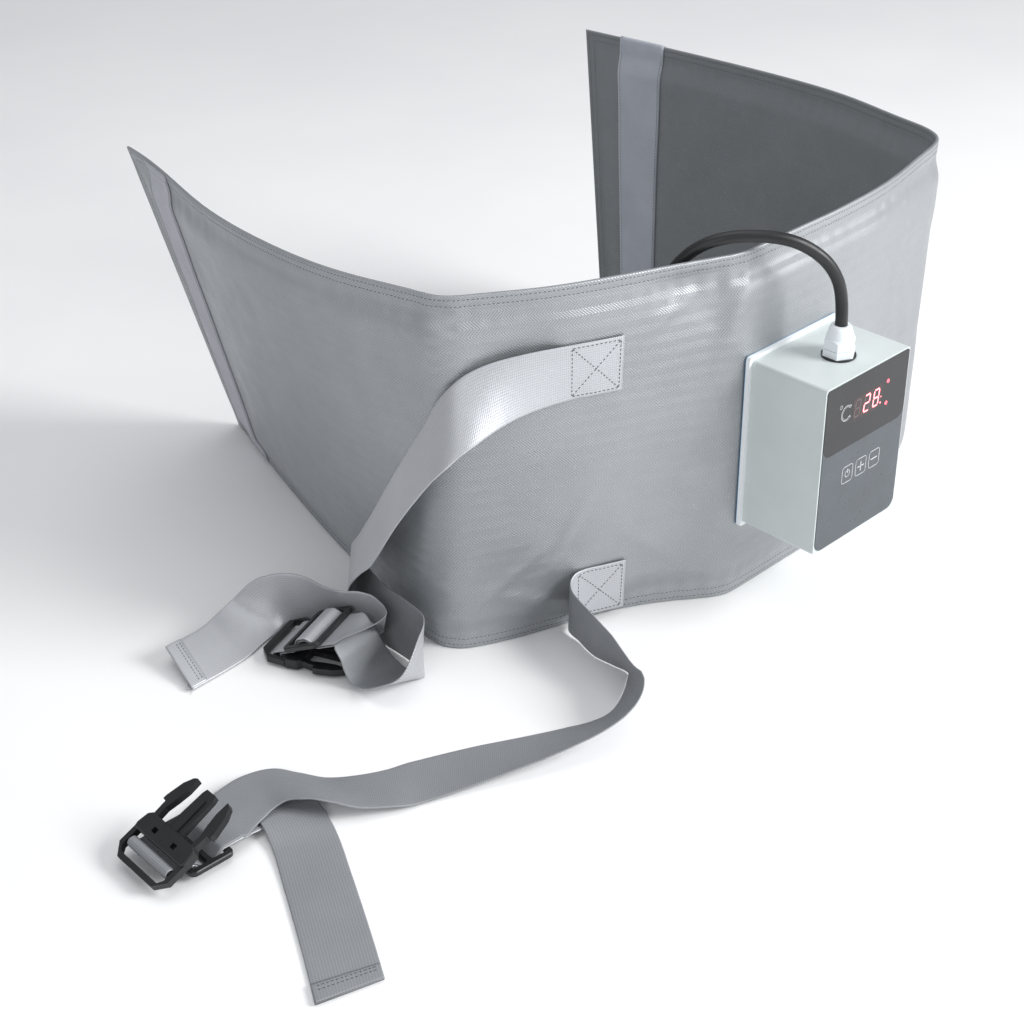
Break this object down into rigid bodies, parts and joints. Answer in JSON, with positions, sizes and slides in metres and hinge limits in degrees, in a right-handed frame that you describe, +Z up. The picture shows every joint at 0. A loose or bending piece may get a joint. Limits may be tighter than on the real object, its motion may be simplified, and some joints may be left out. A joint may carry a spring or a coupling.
{
  "type": "container heating belt",
  "caption": "Padded heating jacket that wraps round a container, with buckled webbing straps and a digital temperature controller on its front.",
  "frame": {"origin": "on the floor under the middle of the belt's overall size, its power cord left out", "axes": "+Z up, +Y from the controller's face into the belt, +X to the right as one looks at the controller"},
  "size_m": [0.9228, 0.6692, 0.3355],
  "materials": {
    "cloth": "silver-grey coated glass cloth with a fine twill",
    "felt": "white needled felt",
    "tape": "lavender-grey hook and loop tape",
    "webbing": "satin silver polyester webbing",
    "wire": "silicone covered heating wire",
    "sensor": "flat probe",
    "case": "light grey-green ABS, fine grain",
    "overlay": "printed film, black above and dark blue grey below",
    "display": "red seven segment display behind a dark window",
    "lamp": "red diffused lens",
    "board": "green solder mask",
    "relay": "blue moulded case",
    "terminal": "green moulded block",
    "steel": "zinc plated",
    "key": "moulded plunger",
    "plate": "white sheet",
    "film": "light blue film",
    "backing": "mill finish",
    "seal": "soft black rubber",
    "lead": "silicone covered leads",
    "gland": "white nylon",
    "cable": "black rubber sheath",
    "plug": "black moulded",
    "pins": "nickel plated",
    "buckle": "black acetal"
  },
  "bodies": {
    "belt": {"outer_cloth": "cloth", "inner_cloth": "cloth", "insulation_felt": "felt", "heating_wire": "wire", "temperature_sensor": "sensor", "hook_tape": "tape", "loop_tape": "tape", "front_shell": "case", "rear_shell": "case", "case_screws": "steel", "board_screws": "steel", "mount_screws": "steel", "mount_nuts": "steel", "mounting_plate": "plate", "plate_film": "film", "backing_plate": "backing", "lead_grommet": "seal", "heater_leads": "lead", "circuit_board": "board", "display_module": "display", "indicator_leds": "lamp", "key_switches": "key", "relay": "relay", "terminal_block": "terminal", "front_overlay": "overlay", "gland_washer": "gland", "gland_body": "gland", "gland_nut": "gland", "gland_seal": "seal", "gland_lock_nut": "gland", "power_cord": "cable", "power_cord_coil": "cable", "mains_plug": "plug", "plug_pins": "pins", "upper_strap": "webbing", "lower_strap": "webbing", "upper_slider": "buckle", "lower_slider": "buckle", "upper_buckle_tab": "webbing", "lower_buckle_tab": "webbing"},
    "power_key": {"power_key": "key"},
    "plus_key": {"plus_key": "key"},
    "minus_key": {"minus_key": "key"},
    "upper_strap_buckle": {"upper_strap_buckle": "buckle"},
    "lower_strap_buckle": {"lower_strap_buckle": "buckle"},
    "upper_socket": {"upper_socket_buckle": "buckle"},
    "lower_socket": {"lower_socket_buckle": "buckle"}
  },
  "joints": [
    {"name": "power_key_press", "type": "slide", "parent": "belt", "child": "power_key", "axis": [0, 1, 0], "range_m": [0, 0.00025], "stiffness_N_per_m": 3000, "springref_m": -0.0001},
    {"name": "plus_key_press", "type": "slide", "parent": "belt", "child": "plus_key", "axis": [0, 1, 0], "range_m": [0, 0.00025], "stiffness_N_per_m": 3000, "springref_m": -0.0001},
    {"name": "minus_key_press", "type": "slide", "parent": "belt", "child": "minus_key", "axis": [0, 1, 0], "range_m": [0, 0.00025], "stiffness_N_per_m": 3000, "springref_m": -0.0001},
    {"name": "upper_buckle_swing", "type": "hinge", "parent": "belt", "child": "upper_strap_buckle", "pos_m": [-0.2068, -0.00073, 0.0052], "axis": [0.9367, 0.3502, 0], "range_deg": [0, 80]},
    {"name": "lower_buckle_swing", "type": "hinge", "parent": "belt", "child": "lower_strap_buckle", "pos_m": [-0.4458, -0.14273, 0.0138], "axis": [-0.0349, -0.9994, 0], "range_deg": [0, 80]},
    {"name": "upper_socket_swing", "type": "hinge", "parent": "belt", "child": "upper_socket", "pos_m": [0.45469, 0.13924, 0.24507], "axis": [0.0085, 0.0005, -1], "range_deg": [0, 140]},
    {"name": "lower_socket_swing", "type": "hinge", "parent": "belt", "child": "lower_socket", "pos_m": [0.45595, 0.14271, 0.07506], "axis": [0.0078, 0.0002, -1], "range_deg": [0, 140]}
  ]
}
